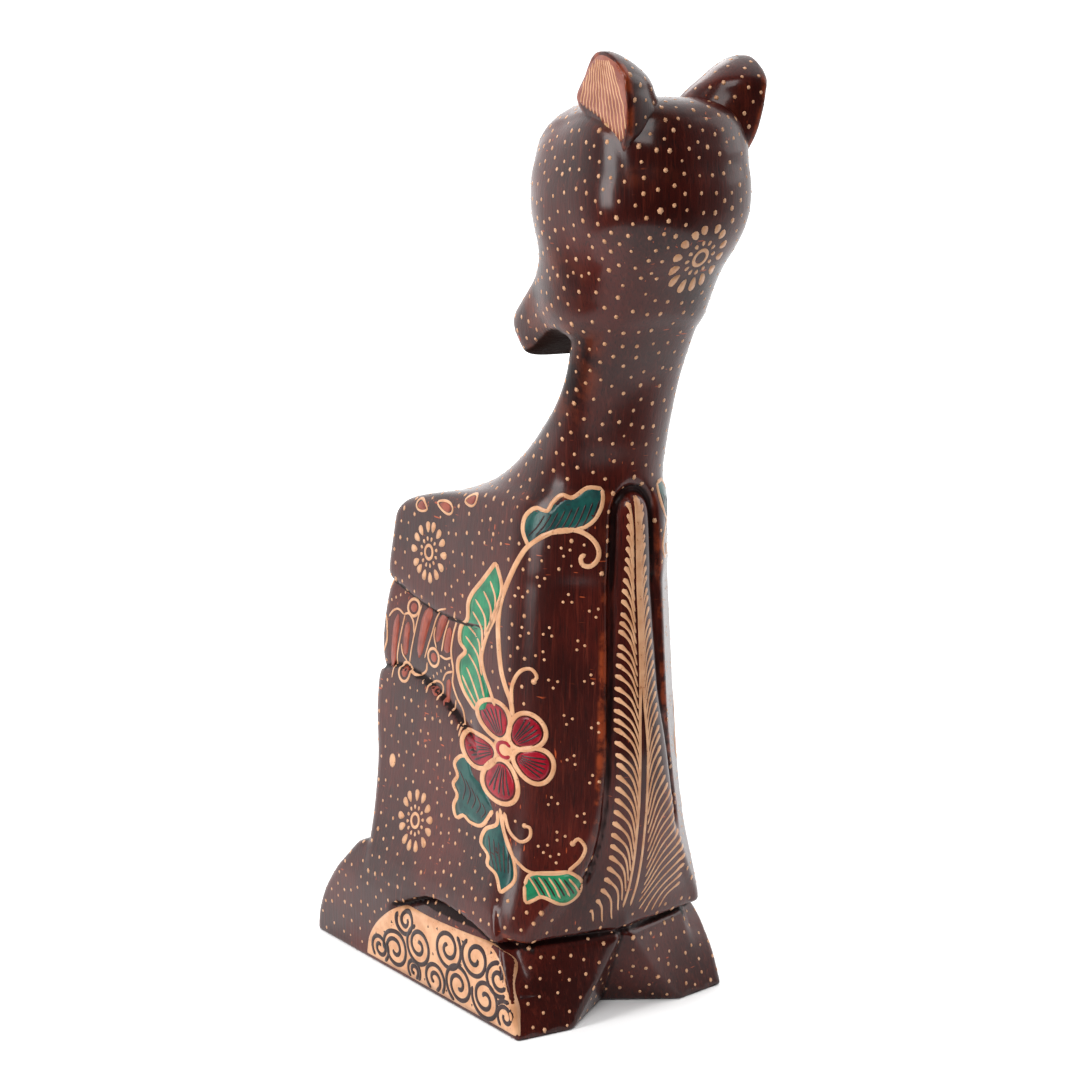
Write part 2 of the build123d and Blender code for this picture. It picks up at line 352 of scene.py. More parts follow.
def through(points, step=0.5, closed=False):
    """Smooth path through the points, evenly spaced: each stretch a cubic that heads along its neighbours."""
    p = np.array(points, float)
    if closed:
        p = np.concatenate([p, p[:1]])
        q = np.vstack([p[-2], p, p[1]])
    else:
        q = np.vstack([2 * p[0] - p[1], p, 2 * p[-1] - p[-2]])
    t = np.linspace(0, 1, 10, endpoint=False)[:, None, None]
    a, b, c, d = q[:-3], q[1:-2], q[2:-1], q[3:]
    s = 0.5 * (2 * b + (c - a) * t + (2 * a - 5 * b + 4 * c - d) * t ** 2 + (3 * b - a - 3 * c + d) * t ** 3)
    s = np.vstack([s.transpose(1, 0, 2).reshape(-1, 2), p[-1:]])
    return evenly(s, step=step)


def evenly(path, step=0.5, count=None):
    """The same path with points at equal distances."""
    run = np.concatenate([[0], np.cumsum(np.linalg.norm(np.diff(path, axis=0), axis=1))])
    count = count or max(4, int(run[-1] / step) + 1)
    at = np.linspace(0, run[-1], count)
    return np.stack([np.interp(at, run, path[:, k]) for k in range(path.shape[1])], 1)


def ring_faces(n, m, closed=False):
    """Quads between n rings of m points each."""
    i, j = np.meshgrid(np.arange(n if closed else n - 1), np.arange(m), indexing="ij")
    a, b = i * m + j, i * m + (j + 1) % m
    c, d = ((i + 1) % n) * m + (j + 1) % m, ((i + 1) % n) * m + j
    return [tuple(q) for q in np.stack([a, b, c, d], -1).reshape(-1, 4).tolist()]


# Which copies are laid, mirrored or not: the near side only, both sides, or the far side only.
SIDES = {False: (False,), True: (False, True), "far": (True,)}


class Paint:
    """One painted piece: strokes, blobs and fills drawn on charts, then laid on the carving as solids."""

    def __init__(self, name, height=0.07):
        self.name, self.height, self.parts = name, height, []

    def stroke(self, chart, path, width=0.9, both=True, closed=False):
        """Flat bead along a path: five-cornered profile, |offset| <= width/2, ends rounded like a pen's."""
        n = len(path)
        if closed:
            path = path[:-1]
            n -= 1
            along = np.roll(path, -1, 0) - np.roll(path, 1, 0)
        else:
            along = np.gradient(path, axis=0)
        along = along / np.maximum(np.linalg.norm(along, axis=1), 1e-6)[:, None]
        side = np.stack([-along[:, 1], along[:, 0]], 1)
        half = np.broadcast_to(np.asarray(width, float), n + closed)[:n].copy() / 2
        if not closed:
            run = np.concatenate([[0], np.cumsum(np.linalg.norm(np.diff(path, axis=0), axis=1))])
            left = np.minimum(run, run[-1] - run) / np.maximum(half, 0.05)
            half *= np.sqrt(np.clip(1 - (1 - np.minimum(left, 1)) ** 2, 0.06, 1))
        across = np.array([-1, -0.62, 0.62, 1, 0])
        flat = path[:, None] + side[:, None] * (half[:, None] * across)[..., None]
        lift = np.tile([-0.05, self.height, self.height, -0.05, -0.25], n)
        faces = [q[::-1] for q in ring_faces(n, 5, closed)]
        if not closed:
            last = 5 * (n - 1)
            faces += [(0, 1, 2, 3, 4), tuple(last + k for k in (4, 3, 2, 1, 0))]
        self.parts.append((chart, flat.reshape(-1, 2), lift, faces, both))

    def blob(self, chart, outline, rings=1, both=True, height=None):
        """Filled shape: rings that shrink from the outline (anticlockwise) to its middle."""
        h = self.height if height is None else height
        outline = np.asarray(outline, float)
        m, middle = len(outline), outline.mean(0)
        sizes = np.linspace(1, 0, rings + 1)[:-1]
        flat = np.concatenate([middle + (outline - middle) * s for s in sizes] + [middle[None], middle[None]])
        lift = np.full(len(flat), float(h))
        lift[:m] = -0.04
        lift[-1] = -0.3
        faces = ring_faces(rings, m) if rings > 1 else []
        top, below = rings * m, rings * m + 1
        k = (rings - 1) * m
        faces += [(k + j, k + (j + 1) % m, top) for j in range(m)]
        faces += [((j + 1) % m, j, below) for j in range(m)]
        self.parts.append((chart, flat, lift, faces, both))

    def sheet(self, chart, low, high, count=5, step=0.8, both=True):
        """Fill between two edges: straight lines from edge to edge, one every step along them."""
        n = max(6, int(max(len(low), len(high)) * 0.5 / step))
        low, high = evenly(low, count=n), evenly(high, count=n)
        t = np.linspace(0, 1, count)[None, :, None]
        top = low[:, None] * (1 - t) + high[:, None] * t
        ring = np.concatenate([top, top[:, ::-1]], 1)
        lift = np.tile([self.height] * count + [-0.3] * count, n)
        faces = [q[::-1] for q in ring_faces(n, 2 * count)]
        last = 2 * count * (n - 1)
        faces += [tuple(range(2 * count)), tuple(last + k for k in reversed(range(2 * count)))]
        self.parts.append((chart, ring.reshape(-1, 2), lift, faces, both))

    def lay(self, material):
        """Lays all parts on the carving, with the far side as a mirror image, and makes the object."""
        points, faces, total = [], [], 0
        for chart in {id(p[0]): p[0] for p in self.parts}.values():
            parts = [p for p in self.parts if p[0] is chart]
            skin, normal = chart.lay(np.concatenate([p[1] for p in parts]))
            skin = skin + normal * np.concatenate([p[2] for p in parts])[:, None]
            first = 0
            for _, flat, _, part_faces, both in parts:
                own = skin[first:first + len(flat)]
                first += len(flat)
                for mirrored in SIDES[both]:
                    points.append(own * ((-1, 1, 1) if mirrored else (1, 1, 1)))
                    turn = chart.turned != mirrored
                    faces += [tuple(total + k for k in (f[::-1] if turn else f)) for f in part_faces]
                    total += len(flat)
        piece = solid(self.name, np.concatenate(points), faces, material)
        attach(piece, "root")


def solid(name, points, faces, material, smooth=True):
    """Mesh object whose points are given in millimetres."""
    mesh = bpy.data.meshes.new(name)
    mesh.from_pydata((np.asarray(points) * MM).tolist(), [], [list(f) for f in faces])
    mesh.polygons.foreach_set("use_smooth", np.full(len(mesh.polygons), smooth))
    mesh.update()
    piece = bpy.data.objects.new(name, mesh)
    bpy.context.scene.collection.objects.link(piece)
    mesh.materials.append(material)
    return piece


def disc(centre, radius, sides=16, squash=1.0, tilt=0.0):
    """Points round an ellipse, anticlockwise: (r cos t, r squash sin t), turned by tilt."""
    t = np.arange(sides) / sides * TURN
    x, y = radius * np.cos(t), radius * squash * np.sin(t)
    return np.stack([centre[0] + x * math.cos(tilt) - y * math.sin(tilt),
                     centre[1] + x * math.sin(tilt) + y * math.cos(tilt)], 1)


def drop(centre, heading, length, width, sides=14, blunt=0.35):
    """Teardrop, anticlockwise, blunt end along its heading: half width = w sin t (1 + blunt cos t)."""
    t = np.arange(sides) / sides * TURN
    x, y = length / 2 * np.cos(t), width / 2 * np.sin(t) * (1 + blunt * np.cos(t))
    c, s = math.cos(heading), math.sin(heading)
    return np.stack([centre[0] + x * c - y * s, centre[1] + x * s + y * c], 1)


def draw(paint, chart, table, both=True):
    """Draws a table of lines as smooth beads: each row is a width and the points it goes through."""
    for width, points in table:
        paint.stroke(chart, through(points), width, both=both)


# ---------------------------------------------------------------- materials
def tint(red, green, blue):
    """Colour given as it looks (0 to 255) turned into the light it reflects, by the sRGB curve."""
    linear = [((v / 255 + 0.055) / 1.055) ** 2.4 if v > 10 else v / 255 / 12.92 for v in (red, green, blue)]
    return (*linear, 1)


class Wire:
    """A shader value; plus, minus, times and so on become Math nodes."""

    def __init__(self, graph, socket):
        self.graph, self.socket = graph, socket

    def math(self, operation, *others, clamp=False):
        """One Math node of this value and the others."""
        settings = {"operation": operation, "use_clamp": clamp}
        return self.graph.node("ShaderNodeMath", settings, dict(enumerate((self, *others))))

    def __add__(self, other):
        return self.math("ADD", other)

    def __radd__(self, other):
        return self.math("ADD", other)

    def __mul__(self, other):
        return self.math("MULTIPLY", other)

    def __rmul__(self, other):
        return self.math("MULTIPLY", other)

    def __sub__(self, other):
        return self.math("SUBTRACT", other)

    def __rsub__(self, other):
        return (self * -1) + other

    def between(self, low, high):
        """0 below low, 1 above high, and a smooth S between them."""
        return self.graph.node("ShaderNodeMapRange", {"interpolation_type": "SMOOTHSTEP"},
                               {"Value": self, "From Min": low, "From Max": high})


class Graph:
    """Node tree of one material, or of the world."""

    def __init__(self, owner):
        owner.use_nodes = True
        self.owner, self.tree = owner, owner.node_tree
        self.tree.nodes.clear()

    @classmethod
    def of_material(cls, name):
        """Graph of a new material, with the place in the object at hand."""
        graph = cls(bpy.data.materials.new(name))
        graph.place = graph.node("ShaderNodeTexCoord", out="Object")
        return graph

    def node(self, kind, settings=None, values=None, out=0):
        """Any node: its settings, then what goes into its sockets (numbers or wires)."""
        made = self.tree.nodes.new(kind)
        for key, value in (settings or {}).items():
            setattr(made, key, value)
        for key, value in (values or {}).items():
            if isinstance(value, Wire):
                self.tree.links.new(value.socket, made.inputs[key])
            else:
                made.inputs[key].default_value = value
        return Wire(self, made.outputs[out]) if made.outputs else None

    def stretched(self, x, y, z):
        """The place with each axis multiplied, for noise drawn out along the grain."""
        return self.node("ShaderNodeVectorMath", {"operation": "MULTIPLY"}, {0: self.place, 1: (x, y, z)})

    def noise(self, scale, detail=2.0, rough=0.5, where=None, twist=0.0):
        """Cloudy noise, about 0.5 on average."""
        values = {"Vector": where or self.place, "Scale": scale, "Detail": detail, "Roughness": rough,
                  "Distortion": twist}
        return self.node("ShaderNodeTexNoise", None, values)

    def mix(self, factor, first, second):
        """Colour between two: first + (second - first) * factor."""
        return self.node("ShaderNodeMix", {"data_type": "RGBA"}, {0: factor, 6: first, 7: second}, out=2)

    def attribute(self, name):
        """Value stored on the carving's points."""
        return self.node("ShaderNodeAttribute", {"attribute_name": name}, out="Fac")

    def finish(self, colour, roughness, bump=None, depth=0.1, coat=0.0, coat_rough=0.15, specular=0.4):
        """Ends the material in one surface shader; the bump lifts it by up to 1 mm times its depth."""
        values = {"Base Color": colour, "Roughness": roughness, "Coat Weight": coat,
                  "Coat Roughness": coat_rough, "Specular IOR Level": specular}
        if bump is not None:
            lifted = {"Height": bump, "Distance": MM, "Strength": depth}
            values["Normal"] = self.node("ShaderNodeBump", None, lifted)
        shader = self.node("ShaderNodeBsdfPrincipled", None, values)
        self.node("ShaderNodeOutputMaterial", None, {"Surface": shader})
        return self.owner


def stained_wood():
    """Dark red-brown stain under lacquer: upright streaks, cloudy tone, orange rub-through, scratches, and
    painted shade that darkens the recesses.
    """
    g = Graph.of_material("stained_wood")
    streaks = g.noise(1.0, 4.0, 0.6, g.stretched(1300, 1300, 55), 0.6)
    fine = g.noise(1.0, 3.0, 0.6, g.stretched(3200, 3200, 160))
    cloud = g.noise(38.0, 3.0, 0.55)
    edge, hollow_shade = g.attribute("edge"), g.attribute("hollow_shade")
    colour = g.mix(cloud.between(0.35, 0.68), tint(42, 9, 6), tint(70, 19, 12))
    colour = g.mix(streaks.between(0.48, 0.76) * 0.5, colour, tint(92, 34, 22))
    colour = g.mix(fine.between(0.50, 0.30) * 0.65, colour, tint(22, 9, 8))
    worn = edge.between(0.17, 0.42) * g.noise(190.0, 4.0, 0.65).between(0.42, 0.62)
    colour = g.mix(worn * 0.75, colour, tint(138, 58, 28))
    scratch = g.noise(1.0, 1.0, 0.4, g.stretched(260, 260, 1500)).between(0.73, 0.77)
    nick = g.noise(1.0, 1.0, 0.4, g.stretched(1500, 1500, 420)).between(0.74, 0.78)
    marks = (scratch + nick).math("MULTIPLY", g.noise(70.0).between(0.5, 0.6), clamp=True)
    colour = g.mix(marks * 0.8, colour, tint(172, 76, 38))
    # painted shade: near-black in recesses, along the flank's creases and under the leg's ledge, where shadow
    # falls
    colour = g.mix(hollow_shade.between(0.12, 0.45) * 0.85, colour, tint(14, 8, 8))
    raw = g.attribute("end_grain")
    colour = g.mix(raw, colour, g.mix(fine, tint(16, 8, 7), tint(44, 22, 15)))
    rough = streaks * 0.08 + cloud * 0.12 + raw * 0.5 + marks * 0.2 + 0.27
    bump = streaks * 0.5 + fine * 0.35 + g.noise(150.0, 2.0) * 0.9 + raw * g.noise(900.0) * 3.0
    gloss = 0.5 - (hollow_shade.between(0.12, 0.45) * 0.45).math("MAXIMUM", raw * 0.5)
    return g.finish(colour, rough, bump, 0.16, coat=gloss, coat_rough=0.17, specular=0.06)


def wax_colour(name, main, shade, speckle=None, amount=0.5):
    """Batik colour left in the wood: cloudy tone, faint upright grain, dark crackle specks."""
    g = Graph.of_material(name)
    cloud = g.noise(260.0, 3.0, 0.6)
    grain = g.noise(1.0, 3.0, 0.6, g.stretched(2400, 2400, 160))
    colour = g.mix(cloud.between(0.35, 0.7), tint(*main), tint(*shade))
    colour = g.mix(grain.between(0.55, 0.75) * 0.35, colour, tint(*shade))
    if speckle:
        specks = g.noise(1500.0, 2.0).between(0.66, 0.72)
        colour = g.mix(specks * amount, colour, tint(*speckle))
    return g.finish(colour, cloud * 0.15 + 0.31, grain * 0.5 + cloud * 0.4, coat=0.4, coat_rough=0.17,
                    specular=0.08)


def pale_wood():
    """Plain turned wood of the hidden ear pegs."""
    g = Graph.of_material("pale_wood")
    grain = g.noise(1.0, 4.0, 0.6, g.stretched(900, 900, 60))
    return g.finish(g.mix(grain, tint(188, 146, 98), tint(146, 104, 64)), grain * 0.2 + 0.5, grain)


# ---------------------------------------------------------------- the carving itself
WOOD = stained_wood()
TAN = wax_colour("tan_wax", (198, 151, 115), (178, 127, 91), (120, 66, 40), 0.6)
CELL = 0.74
EAR_CELL = 0.45
REACH = 1.5


def normals_of(field, p):
    """Unit normals: the field's slope divided by its length."""
    g = slope_of(field, p)
    return g / np.maximum(np.linalg.norm(g, axis=1), 1e-6)[:, None]


def strip_rub(x, y, z):
    """Rub-through beside the chest strip: a bell curve that peaks 2.6 mm outside its edge."""
    off = np.abs(x) - strip_half(x, z) - 2.6
    return 0.24 * np.exp(-off ** 2) * ease(-34, -38, y) * ease(36, 44, z) * ease(108, 100, z)


def leg_shadow(x, y, z):
    """Dark band under the leg's ledge: it starts at the crease and is widest in the middle of the leg."""
    under = curve(y, LEG_CREASE) - z
    wide = 0.8 + 2.0 * ease(2, -10, y) - 1.2 * ease(-13, -26, y)
    ledge = ease(-0.5, 0, under) * ease(1.25, 0.85, under / wide)
    return ledge * ease(-39, -36, y) * ease(9, 5, y) * ease(19, 21, np.abs(x))


def crease_shadow(x, y, z):
    """Dark along the two creases of the flank: a bell curve across each of them."""
    shadow = sum(np.exp(-((z - curve(y, line)) / width) ** 2) for line, width in
                 ((UPPER_CREASE, 0.7), (LOWER_CREASE, 0.9)))
    return 0.6 * ease(14, 17, np.abs(x)) * ease(-19, -14, y) * shadow


def chin_cut(p, n):
    """Raw wood: the cut under the chin, where the skin faces down."""
    y, z = p[:, 1], p[:, 2]
    return ease(-0.6, -0.75, n[:, 2]) * ease(134, 138, z) * ease(152, 148, z) * ease(-40, -36, y)


def dress(piece, field, p, raw=None):
    """Stores how sharp, how sunk and how raw the carving is at its points, and gives its normals.

    Sharp: what the field lacks of the reach on the way in, as a share of it. Sunk: the same on the way out,
    plus the painted shadow bands under the leg's ledge and along the flank's creases; it sets the painted
    shade that darkens the wood in recesses.
    """
    n = normals_of(field, p)
    sharp = (field(*(p - n * REACH).T) + REACH) / REACH + strip_rub(*p.T)
    sharp = sharp * ease(0.5, 4, p[:, 2])
    # painted shade: concavity plus painted shadow bands under the leg's ledge and along the flank's creases
    hollow_shade = (REACH - field(*(p + n * REACH).T)) / REACH + leg_shadow(*p.T) + crease_shadow(*p.T)
    end_grain = raw(p, n) if raw else np.zeros(len(p))
    for name, value in (("edge", sharp), ("hollow_shade", hollow_shade), ("end_grain", end_grain)):
        stored = piece.data.attributes.new(name, "FLOAT", "POINT")
        stored.data.foreach_set("value", np.clip(value, 0, 1).astype(np.float32))
    return n


points, quads = mesh_of(block, (-29, -73, -1), (29, 44, 196), CELL)
points = settle(block, points)
skin = solid("carved_skin", points, quads, WOOD)
normals = dress(skin, block, points, chin_cut)
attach(skin, "root")
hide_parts("carved_block")

ear_points, ear_quads = mesh_of(ear, (-21, -68, 179), (0, -42, 203), EAR_CELL)
ear_points = settle(ear, ear_points)
for side, turn in (("left_ear", 1), ("right_ear", -1)):
    piece = solid(side + "_skin", ear_points * (turn, 1, 1), ear_quads[:, ::turn], WOOD)
    dress(piece, ear, ear_points)
    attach(piece, "root")
    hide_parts(side)

peg_wood = pale_wood()
for name in ("left_ear_peg", "right_ear_peg"):
    for slot in frame["nodes"][name].material_slots:
        slot.material = peg_wood


# ---------------------------------------------------------------- painted pattern
RED = wax_colour("red_petal", (142, 6, 28), (98, 4, 20), (30, 6, 10))
GREEN = wax_colour("green_leaf", (30, 116, 78), (18, 88, 60), (10, 40, 30))
TEAL = wax_colour("teal_leaf", (22, 70, 64), (15, 46, 46), (12, 16, 18))
RUST = wax_colour("rust_panel", (136, 62, 44), (108, 44, 34), (60, 24, 22))
DARK = wax_colour("dark_stroke", (42, 15, 14), (28, 10, 10))
ROSE = wax_colour("rose_ear", (142, 84, 68), (118, 62, 50), (190, 120, 90))

# Vines on the shoulder, drawn as seen on the front left corner. A leaf is its outer edge and its inner edge.
MAIN_STEM = [(0.2, 66), (-0.2, 69), (-1.2, 71.5), (-2.2, 75), (-2.7, 80), (-2.8, 85), (-2.2, 89.5),
             (-0.5, 94.5), (1.5, 99), (3.5, 102), (6.5, 104.3), (9.5, 105.7), (12.5, 106),
             (14.8, 105.4), (16.7, 104), (17.8, 102), (17.6, 100), (16.2, 98.6), (14.6, 98.8),
             (14.2, 100.3), (15.2, 101)]
SIDE_STEM = [(-3.6, 67), (-4.6, 70), (-5.9, 73.5), (-6.3, 77), (-5, 82), (-3.5, 85.5), (-2.3, 89)]
LOW_STEM = [(-2.5, 46), (-2, 42.5), (-0.5, 38), (1.5, 35.6), (4, 34.2), (9, 34.2), (12, 34.8)]
LEAF_1 = ([(-7.8, 64.5), (-10.2, 67.5), (-11.5, 71), (-11.4, 74), (-9.9, 76.3), (-11.1, 78), (-10.9, 81),
           (-9.4, 83.5), (-9.2, 87), (-8.2, 89.5), (-6.2, 92.5), (-3.2, 97.3)],
          [(-5.6, 65.5), (-4.8, 69.5), (-6, 73.5), (-6.4, 77), (-5.2, 82), (-3.6, 86.5), (-2, 92),
           (-3.2, 97.3)])
LEAF_1_VEINS = [[(-6.6, 66), (-8.4, 70.5), (-9.6, 73)], [(-5.8, 68), (-7.2, 73), (-9.2, 76)],
                [(-6.3, 72.5), (-7.2, 76.5), (-9.8, 79.5)], [(-6.6, 75.5), (-7, 79.5), (-9.6, 82)],
                [(-6.2, 78.5), (-6.4, 82.5), (-8.2, 85.5)], [(-5.6, 81), (-5.6, 85), (-7.6, 88.3)],
                [(-4.4, 84), (-4.4, 87.5), (-5.8, 90.5)], [(-3.4, 87), (-3.4, 90), (-4.4, 93)],
                [(-7.6, 65.8), (-9.6, 69), (-10.6, 71)]]
LEAF_2 = ([(3.5, 102), (2.4, 105), (2.9, 108), (5, 110), (7.3, 109.6), (8.4, 111.3), (10.3, 113),
           (12.5, 112.6), (15.5, 114.6), (18.5, 114.4)],
          [(3.5, 102), (7, 104.8), (12, 105.8), (15.6, 107), (17.8, 109.5), (18.6, 112), (18.5, 114.4)])
LEAF_3 = ([(-9.3, 54), (-11, 53.6), (-12.4, 51.5), (-11.7, 49.2), (-12.7, 47), (-11.8, 45), (-12.6, 42.5),
           (-12, 40.3), (-10.4, 41.4), (-9, 40.6), (-6.4, 41), (-4, 45)],
          [(-9.3, 54), (-8.2, 50.5), (-6, 49), (-4.8, 47), (-4, 45)])
LEAF_4 = ([(-3, 45.3), (-3.2, 42.5), (-5.6, 40.5), (-6.6, 37.5), (-5.1, 35.6), (-5.2, 33.6), (-3.4, 32.4),
           (-2.5, 29)],
          [(-2, 45), (-1.8, 42), (-0.5, 38.5), (0.5, 35.5), (0.4, 32), (-2.5, 29)])
LEAF_5 = ([(2.6, 31.5), (2.8, 28.2), (4.4, 28.6), (6, 29.4), (8, 28.8), (10.4, 27.6), (12, 27.6), (13.8, 29),
           (14.7, 31.5)],
          [(2.6, 31.5), (3.4, 33.4), (5, 34.1), (9, 34.4), (12, 34.6), (14, 33.2), (14.7, 31.5)])
LEAF_5_VEINS = [[(3.4 + 2.1 * k, 33.4), (4.8 + 2.1 * k, 31.4), (6.0 + 2.0 * k, 29.2)] for k in range(5)]

vine = Paint("vine_lines", 0.09)
draw(vine, CORNER_VIEW, [(1.15, MAIN_STEM), (0.8, SIDE_STEM), (1.0, LEAF_1[0]), (0.9, LEAF_1[1][4:])])
draw(vine, CORNER_VIEW, [(0.5, vein) for vein in LEAF_1_VEINS])
draw(vine, CORNER_VIEW, [(1.0, edge) for edge in LEAF_2])
draw(vine, CORNER_VIEW, [(0.9, edge) for edge in (LEAF_3[0], *LEAF_4)])
draw(vine, CORNER_VIEW, [(0.9, edge) for edge in LEAF_5], both=False)
draw(vine, CORNER_VIEW, [(0.5, vein) for vein in LEAF_5_VEINS] + [(0.8, LOW_STEM)], both=False)


def curl(path, width, eye, both=True):
    """Tendril that ends in a round eye."""
    draw(vine, CORNER_VIEW, [(width, path)], both)
    vine.blob(CORNER_VIEW, disc(path[-1], eye), height=0.10, both=both)


curl([(0, 68.5), (0.1, 72.5), (1.7, 75.7), (3.9, 76.6), (5.2, 75.2), (4.6, 74)], 0.9, 0.85)
curl([(-1.6, 45.5), (-0.6, 42), (1.6, 40.2), (3.6, 41.2), (3.8, 43.2), (2.6, 43.6)], 0.85, 0.75)
curl([(11.6, 34.8), (14.3, 37.4), (15.2, 39.8), (13.8, 41.6), (12.6, 40.6)], 0.9, 0.85, both=False)

# Flower: a heart and five petals (middle, half length, half width), each with a fan of hatching strokes.
MIDDLE = np.array([-1.5, 58.5])
PETALS = [((-3.6, 64.1), 4.0, 3.4), ((2.9, 63.0), 4.2, 3.6), ((4.4, 56.6), 4.3, 3.6),
          ((-2.4, 51.7), 4.6, 3.7), ((-6.9, 56.4), 3.8, 3.5)]
petals, hatch = Paint("flower_petals", 0.03), Paint("flower_hatching", 0.06)
for centre, long, wide in PETALS:
    centre = np.array(centre)
    out = centre - MIDDLE
    out = out / np.linalg.norm(out)
    side = np.array([-out[1], out[0]])
    turn = math.atan2(out[1], out[0])
    shape = drop(centre, turn, 2 * long, 2 * wide, 40, 0.24)
    petals.blob(CORNER_VIEW, centre + (shape - centre) * 0.93, rings=4)
    vine.stroke(CORNER_VIEW, through(shape[::2], closed=True), 1.15, closed=True)
    for k in range(-2, 3):
        fan = turn + k * 0.30
        start = centre - out * long * 0.72 + side * k * 0.32
        end = centre + np.array([math.cos(fan), math.sin(fan)]) * (long * 0.62) + side * k * 0.28
        path = through([start, (start + end) / 2 + side * 0.12 * random.normal(), end])
        hatch.stroke(CORNER_VIEW, path, 0.30 + 0.34 * np.linspace(0, 1, len(path)))
vine.blob(CORNER_VIEW, disc(MIDDLE, 2.8, 24), rings=2, height=0.12)
heart = Paint("flower_heart", 0.17)
t = np.linspace(0.6, 5.6, 9)
heart.stroke(CORNER_VIEW, through(np.stack([1.45 * np.cos(t), 1.55 * np.sin(t)], 1) + MIDDLE, 0.3), 1.0)
vine.lay(TAN)
petals.lay(RED)
hatch.lay(DARK)
heart.lay(RED)

# Leaves: a fill between the two edges of each, and strokes that step across it.
bright, deep, strokes = Paint("bright_leaves", 0.03), Paint("dark_leaves", 0.03), Paint("leaf_strokes", 0.06)
for leaf, paint in ((LEAF_1, bright), (LEAF_5, bright), (LEAF_2, deep), (LEAF_3, deep), (LEAF_4, deep)):
    paint.sheet(CORNER_VIEW, through(leaf[1]), through(leaf[0]), count=6, both=leaf is not LEAF_5)
# Each row: how many strokes, their width, both sides or not, and three points with their step per stroke.
LEAF_STROKES = [(9, 0.45, True, (3.4, 1.5, 104.0, 0.22), (5.2, 1.45, 106, 0.34), (6.8, 1.4, 108.6, 0.45)),
                (6, 0.45, True, (-11.2, 1.2, 50.4, -1.2), (-10.0, 1.1, 47.6, -0.9), (-10.6, 1.0, 44.4, -0.5)),
                (5, 0.4, True, (-4.9, 1.05, 39.6, -0.3), (-4.6, 0.95, 36.5, -0.2), (-3.8, 0.75, 33.2, 0)),
                (4, 0.5, False, (4.4, 2.1, 33.3, 0), (5.8, 2.1, 31.3, 0), (7.0, 2.0, 29.4, 0))]
for count, width, both, *stations in LEAF_STROKES:
    for k in range(count):
        path = [(x + step_x * k, z + step_z * k) for x, step_x, z, step_z in stations]
        draw(strokes, CORNER_VIEW, [(width, path)], both)
bright.lay(GREEN)
deep.lay(TEAL)
strokes.lay(DARK)

# Feather up the chest: a double spine with clubbed barbs that rise outwards.
feather = Paint("feather_pattern", 0.08)


def barb(root, tip):
    """One barb: bends upwards from the spine, thin at first and clubbed at its tip."""
    bend = (root[0] + 0.36 * (tip[0] - root[0]), root[1] + 0.62 * (tip[1] - root[1]))
    path = through([root, bend, tip], 0.4)
    s = np.linspace(0, 1, len(path))
    feather.stroke(FRONT_VIEW, path, 0.42 + 0.24 * s + 0.55 * ease(0.72, 0.97, s), both=False)


z = np.linspace(112.5, 24, 120)
gap = 0.25 + 0.75 * ease(78, 58, z)
lean = -0.6 * ease(90, 60, z) + 1.0 * ease(45, 22, z)
for side in (-1, 1):
    spine = np.stack([lean * 0.7 + side * gap, z], 1)
    feather.stroke(FRONT_VIEW, spine, 0.75 + 0.45 * ease(60, 100, z), both=False)
for z in np.linspace(111.5, 60, 24):
    for side in (-1, 1):
        reach = 1.7 + (3.9 if side < 0 else 3.2) * ease(115, 60, z)
        root = (-0.5 + side * 0.8, z - 7.0 - 3.0 * ease(80, 50, z))
        barb(root, (-0.4 + side * reach, z + 0.25 * random.normal()))
# The lowest barbs spread into a fan over the foot of the chest.
LEFT_TIPS = [(-5.9, 57.5), (-6.3, 50), (-6.7, 44), (-6.8, 38), (-7.1, 34), (-7.6, 30), (-8.2, 27.2),
             (-9, 25)]
LEFT_ROOTS = [(-1.3, 47.5), (-1.4, 40), (-1.5, 33), (-1.6, 27), (-2.2, 22.4), (-4.2, 21.4), (-6, 21.5),
              (-7.8, 22)]
RIGHT_TIPS = [(4.6, 57.5), (6.6, 52), (10, 47.4), (11.5, 42), (14, 37.4), (15.8, 33.4), (15.6, 29.6),
              (15.6, 26)]
RIGHT_ROOTS = [(0.6, 47.5), (1.6, 41), (2.6, 34), (3.3, 28.5), (3.6, 23.4), (5.2, 21.4), (7.6, 21.2),
               (10, 21.4)]
for tips, roots, count in ((LEFT_TIPS, LEFT_ROOTS, 14), (RIGHT_TIPS, RIGHT_ROOTS, 16)):
    for tip, root in zip(evenly(through(tips), count=count), evenly(through(roots), count=count)):
        barb(root, tip)
feather.lay(TAN)

# Rosettes (view, middle, drops, both sides): drops in a ring, small drops inside, a ring in the middle.
ROSETTES = [(FLANK_VIEW, 4.3, 95.5, 14, True), (FLANK_VIEW, 3.0, 35.8, 13, True),
            (FRONT_VIEW, 1.5, 161.5, 14, False)]
DROP_RING, INNER_RING, INNER_COUNT, EYE_RING = 5.6, 2.95, 12, 1.5
rosettes = Paint("rosettes", 0.08)
for chart, cx, cz, around, both in ROSETTES:
    for k in range(around):
        t = TURN * (k + 0.09 * random.normal()) / around
        reach = DROP_RING + 0.2 * random.normal()
        place = (cx + reach * math.cos(t), cz + reach * math.sin(t))
        rosettes.blob(chart, drop(place, t, 3.8, 2.45), both=both)
    for k in range(INNER_COUNT):
        t = TURN * (k + 0.5) / INNER_COUNT
        place = (cx + INNER_RING * math.cos(t), cz + INNER_RING * math.sin(t))
        rosettes.blob(chart, drop(place, t, 1.6, 1.15, 8), both=both)
    eye = through(disc((cx, cz), EYE_RING), 0.4, closed=True)
    rosettes.stroke(chart, eye, 0.85, both=both, closed=True)
rosettes.blob(FLANK_VIEW, disc((15, 46.5), 1.9, 16, 0.8, 1.57), rings=2)
rosettes.lay(TAN)

